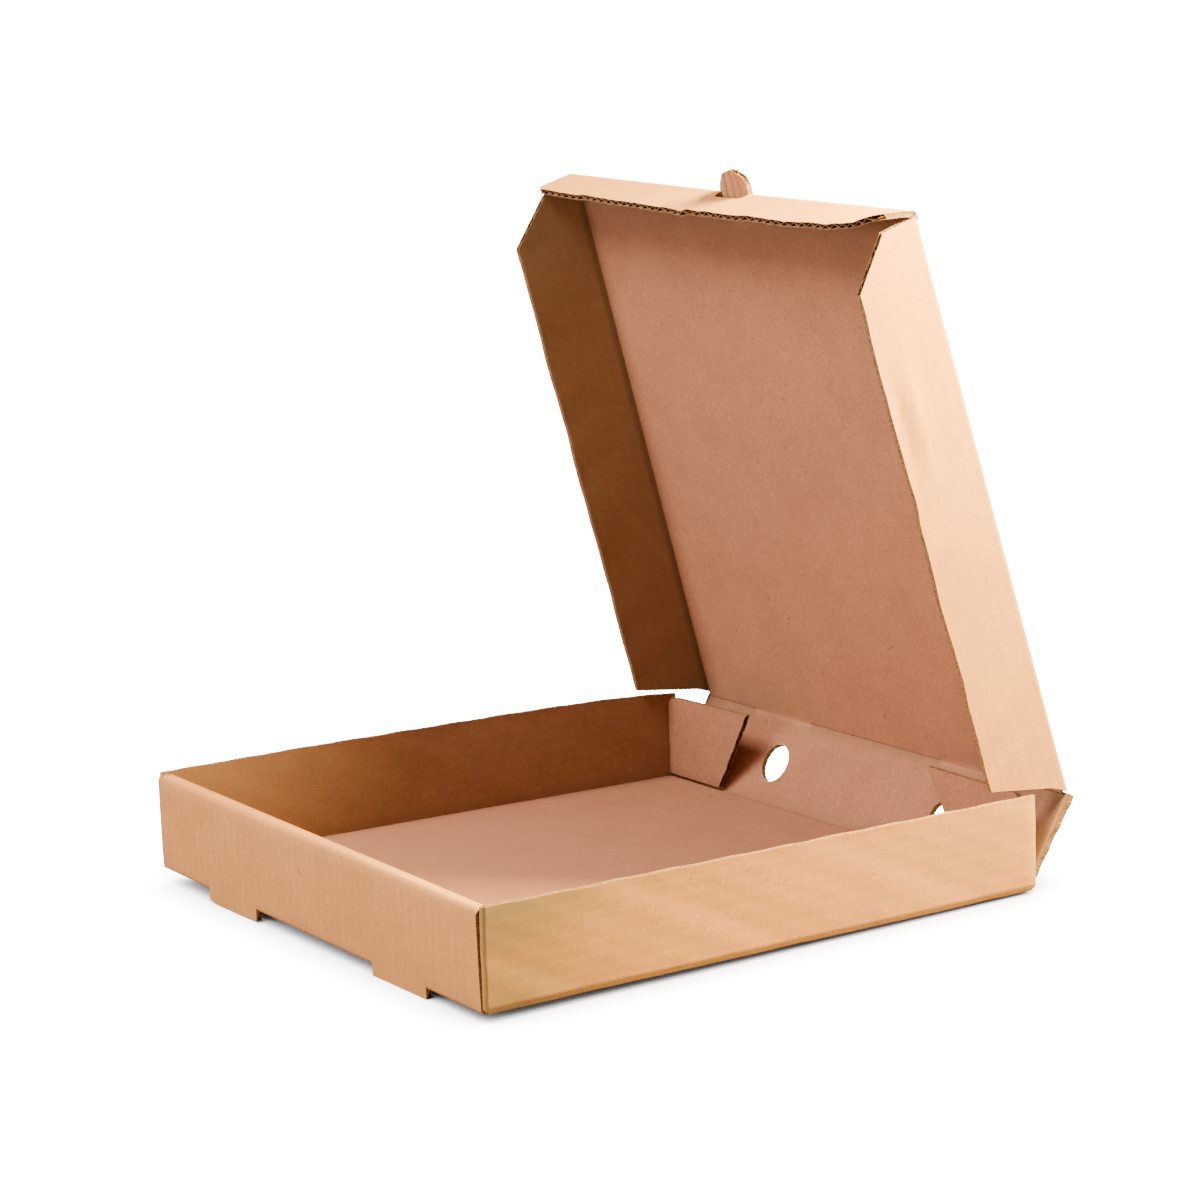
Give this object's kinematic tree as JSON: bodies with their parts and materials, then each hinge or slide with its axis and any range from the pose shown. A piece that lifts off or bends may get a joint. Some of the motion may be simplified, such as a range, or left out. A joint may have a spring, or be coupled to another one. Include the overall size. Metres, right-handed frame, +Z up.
{
  "type": "pizza box",
  "caption": "Square folding pizza box of brown corrugated board, open, with a hinged lid, side and front flaps, vent holes and a pull tongue.",
  "frame": {"origin": "middle of the tray floor's underside, between the side walls and between the front and back walls", "axes": "+X to the right along the front wall, +Y from the front wall to the back wall, +Z up out of the tray"},
  "size_m": [0.3, 0.3274, 0.3408],
  "materials": {
    "kraft_board": "matte brown kraft liner"
  },
  "bodies": {
    "tray": {"tray": "kraft_board"},
    "back_wall": {"back_wall": "kraft_board"},
    "lid": {"lid": "kraft_board"}
  },
  "joints": [
    {"name": "back_wall_fold", "type": "hinge", "parent": "tray", "child": "back_wall", "pos_m": [0, 0.1506, 0.0014], "axis": [-1, 0, 0], "range_deg": [-30, 31.4]},
    {"name": "lid_hinge", "type": "hinge", "parent": "back_wall", "child": "lid", "pos_m": [0, 0.174, 0.04193], "axis": [-1, 0, 0], "range_deg": [-44, 46]}
  ],
  "couplings": [
    {"joint": "back_wall_fold", "follows": "lid_hinge", "ratio": 0.68182}
  ]
}
